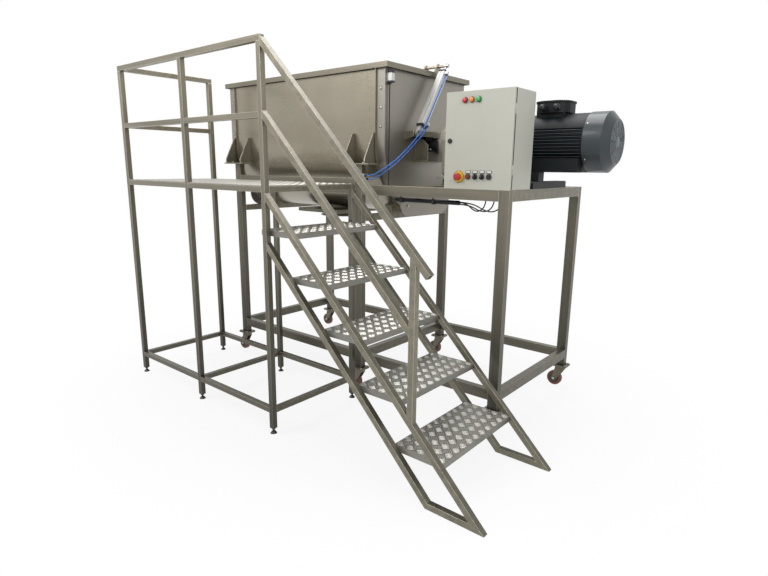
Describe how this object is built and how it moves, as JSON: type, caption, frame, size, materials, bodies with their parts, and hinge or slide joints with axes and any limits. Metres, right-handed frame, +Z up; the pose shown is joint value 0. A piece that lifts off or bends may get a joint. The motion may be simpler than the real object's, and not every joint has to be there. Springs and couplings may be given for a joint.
{
  "type": "ribbon blender",
  "caption": "Stainless ribbon blender on a castored frame: U trough with hinged lid, ribbon agitator, geared motor drive, control cabinet and step platform.",
  "frame": {"origin": "on the floor, below the middle of the whole object's box", "axes": "+X along the trough towards the motor, +Y from the stairs towards the back, +Z up"},
  "size_m": [2.931, 1.8349, 2.144],
  "materials": {
    "stainless": "satin",
    "checker_plate": "bright five-bar tread",
    "yellow_zinc": "yellow zinc plate",
    "caster_tread": "smooth",
    "bright_steel": "machined",
    "cast_dark": "painted",
    "gearbox_paint": "semi-gloss",
    "drive_base_paint": "satin",
    "motor_paint": "semi-gloss",
    "black_plastic": "matte",
    "seal_rubber": "matte",
    "cylinder_alloy": "anodised",
    "rod_chrome": "polished",
    "cabinet_paint": "textured powder coat",
    "gear_plastic": "matte",
    "bezel_plastic": "gloss",
    "red_plastic": "gloss",
    "cable_rubber": "matte",
    "hose_blue": "gloss"
  },
  "bodies": {
    "machine": {"platform_posts": "stainless", "platform_rails": "stainless", "stair_frame": "stainless", "frame_legs": "stainless", "frame_rails": "stainless", "caster_plates": "stainless", "trough_body": "stainless", "trough_end_pans": "stainless", "trough_brackets": "stainless", "discharge_outlet": "stainless", "bearing_pedestals": "stainless", "cylinder_bracket": "stainless", "platform_deck": "checker_plate", "stair_treads": "checker_plate", "levelling_feet": "black_plastic", "shaft_seals": "bright_steel", "shaft_bearings": "cast_dark", "gearbox": "gearbox_paint", "drive_base": "drive_base_paint", "motor_frame": "motor_paint", "terminal_box": "motor_paint", "fan_cowl": "motor_paint", "cabinet_body": "cabinet_paint", "control_gear": "gear_plastic", "field_devices": "black_plastic", "cables": "cable_rubber", "air_hose_front": "hose_blue", "air_hose_rear": "hose_blue"},
    "agitator": {"agitator_shaft": "stainless", "outer_ribbon": "stainless", "inner_ribbon": "stainless", "shaft_collar": "bright_steel"},
    "motor_fan": {"motor_fan": "black_plastic"},
    "lid": {"lid_panel": "stainless", "lid_seal": "seal_rubber", "lid_arm": "stainless"},
    "lift_barrel": {"cylinder_barrel": "cylinder_alloy"},
    "lift_rod": {"piston_rod": "rod_chrome"},
    "discharge_gate": {"slide_gate": "stainless"},
    "cabinet_door": {"cabinet_door": "cabinet_paint", "panel_fittings": "bezel_plastic"},
    "door_lock": {"door_lock": "black_plastic"},
    "estop_button": {"estop_button": "red_plastic"},
    "stop_button": {"stop_button": "red_plastic"},
    "selector_left": {"selector_left": "black_plastic"},
    "selector_right": {"selector_right": "black_plastic"},
    "start_button": {"start_button": "black_plastic"},
    "caster_fork_1": {"caster_fork_1": "yellow_zinc"},
    "caster_wheel_1": {"caster_wheel_1": "caster_tread"},
    "caster_fork_2": {"caster_fork_2": "yellow_zinc"},
    "caster_wheel_2": {"caster_wheel_2": "caster_tread"},
    "caster_fork_3": {"caster_fork_3": "yellow_zinc"},
    "caster_wheel_3": {"caster_wheel_3": "caster_tread"},
    "caster_fork_4": {"caster_fork_4": "yellow_zinc"},
    "caster_wheel_4": {"caster_wheel_4": "caster_tread"},
    "caster_fork_5": {"caster_fork_5": "yellow_zinc"},
    "caster_wheel_5": {"caster_wheel_5": "caster_tread"},
    "caster_fork_6": {"caster_fork_6": "yellow_zinc"},
    "caster_wheel_6": {"caster_wheel_6": "caster_tread"}
  },
  "joints": [
    {"name": "agitator_spin", "type": "hinge", "parent": "machine", "child": "agitator", "pos_m": [-0.5685, 0.3775, 1.621], "axis": [1, 0, 0], "continuous": true},
    {"name": "fan_spin", "type": "hinge", "parent": "machine", "child": "motor_fan", "pos_m": [1.3465, 0.3775, 1.621], "axis": [1, 0, 0], "continuous": true},
    {"name": "lid_hinge", "type": "hinge", "parent": "machine", "child": "lid", "pos_m": [-0.5685, 0.8595, 2.046], "axis": [-1, 0, 0], "range_deg": [0, 50]},
    {"name": "barrel_pivot", "type": "hinge", "parent": "machine", "child": "lift_barrel", "pos_m": [0.2875, 0.1715, 1.69], "axis": [1, 0, 0], "range_deg": [-1.3, 0.3], "deforming": ["air_hose_front", "air_hose_rear"]},
    {"name": "rod_slide", "type": "slide", "parent": "lift_barrel", "child": "lift_rod", "axis": [0, 0.5525, 0.8335], "range_m": [0, 0.346]},
    {"name": "gate_slide", "type": "slide", "parent": "machine", "child": "discharge_gate", "axis": [0, 1, 0], "range_m": [0, 0.28]},
    {"name": "door_hinge", "type": "hinge", "parent": "machine", "child": "cabinet_door", "pos_m": [1.0865, -0.1045, 1.62], "axis": [0, 0, 1], "range_deg": [0, 120]},
    {"name": "lock_turn", "type": "hinge", "parent": "cabinet_door", "child": "door_lock", "pos_m": [0.7175, -0.1225, 1.62], "axis": [0, 1, 0], "range_deg": [0, 90]},
    {"name": "estop_press", "type": "slide", "parent": "cabinet_door", "child": "estop_button", "axis": [0, 1, 0], "range_m": [0, 0.006]},
    {"name": "stop_press", "type": "slide", "parent": "cabinet_door", "child": "stop_button", "axis": [0, 1, 0], "range_m": [0, 0.004], "stiffness_N_per_m": 300},
    {"name": "start_press", "type": "slide", "parent": "cabinet_door", "child": "start_button", "axis": [0, 1, 0], "range_m": [0, 0.004], "stiffness_N_per_m": 300},
    {"name": "selector_left_turn", "type": "hinge", "parent": "cabinet_door", "child": "selector_left", "pos_m": [0.8805, -0.1225, 1.434], "axis": [0, 1, 0], "range_deg": [-45, 45]},
    {"name": "selector_right_turn", "type": "hinge", "parent": "cabinet_door", "child": "selector_right", "pos_m": [0.9225, -0.1225, 1.434], "axis": [0, 1, 0], "range_deg": [-45, 45]},
    {"name": "caster_swivel_1", "type": "hinge", "parent": "machine", "child": "caster_fork_1", "pos_m": [-1.2055, -0.1025, 0.14], "axis": [0, 0, 1], "continuous": true},
    {"name": "caster_roll_1", "type": "hinge", "parent": "caster_fork_1", "child": "caster_wheel_1", "pos_m": [-1.2415, -0.1025, 0.05], "axis": [0, 1, 0], "continuous": true},
    {"name": "caster_swivel_2", "type": "hinge", "parent": "machine", "child": "caster_fork_2", "pos_m": [-1.2055, 0.8575, 0.14], "axis": [0, 0, 1], "continuous": true},
    {"name": "caster_roll_2", "type": "hinge", "parent": "caster_fork_2", "child": "caster_wheel_2", "pos_m": [-1.2415, 0.8575, 0.05], "axis": [0, 1, 0], "continuous": true},
    {"name": "caster_swivel_3", "type": "hinge", "parent": "machine", "child": "caster_fork_3", "pos_m": [0.0425, -0.1025, 0.14], "axis": [0, 0, 1], "continuous": true},
    {"name": "caster_roll_3", "type": "hinge", "parent": "caster_fork_3", "child": "caster_wheel_3", "pos_m": [0.0065, -0.1025, 0.05], "axis": [0, 1, 0], "continuous": true},
    {"name": "caster_swivel_4", "type": "hinge", "parent": "machine", "child": "caster_fork_4", "pos_m": [0.0425, 0.8575, 0.14], "axis": [0, 0, 1], "continuous": true},
    {"name": "caster_roll_4", "type": "hinge", "parent": "caster_fork_4", "child": "caster_wheel_4", "pos_m": [0.0065, 0.8575, 0.05], "axis": [0, 1, 0], "continuous": true},
    {"name": "caster_swivel_5", "type": "hinge", "parent": "machine", "child": "caster_fork_5", "pos_m": [1.0565, -0.1025, 0.14], "axis": [0, 0, 1], "continuous": true},
    {"name": "caster_roll_5", "type": "hinge", "parent": "caster_fork_5", "child": "caster_wheel_5", "pos_m": [1.0205, -0.1025, 0.05], "axis": [0, 1, 0], "continuous": true},
    {"name": "caster_swivel_6", "type": "hinge", "parent": "machine", "child": "caster_fork_6", "pos_m": [1.0565, 0.8575, 0.14], "axis": [0, 0, 1], "continuous": true},
    {"name": "caster_roll_6", "type": "hinge", "parent": "caster_fork_6", "child": "caster_wheel_6", "pos_m": [1.0205, 0.8575, 0.05], "axis": [0, 1, 0], "continuous": true}
  ],
  "couplings": [
    {"joint": "fan_spin", "follows": "agitator_spin", "ratio": 36},
    {"joint": "rod_slide", "follows": "lid_hinge", "m_per_rad": 0.39387},
    {"joint": "barrel_pivot", "follows": "lid_hinge", "ratio": -0.02221}
  ]
}
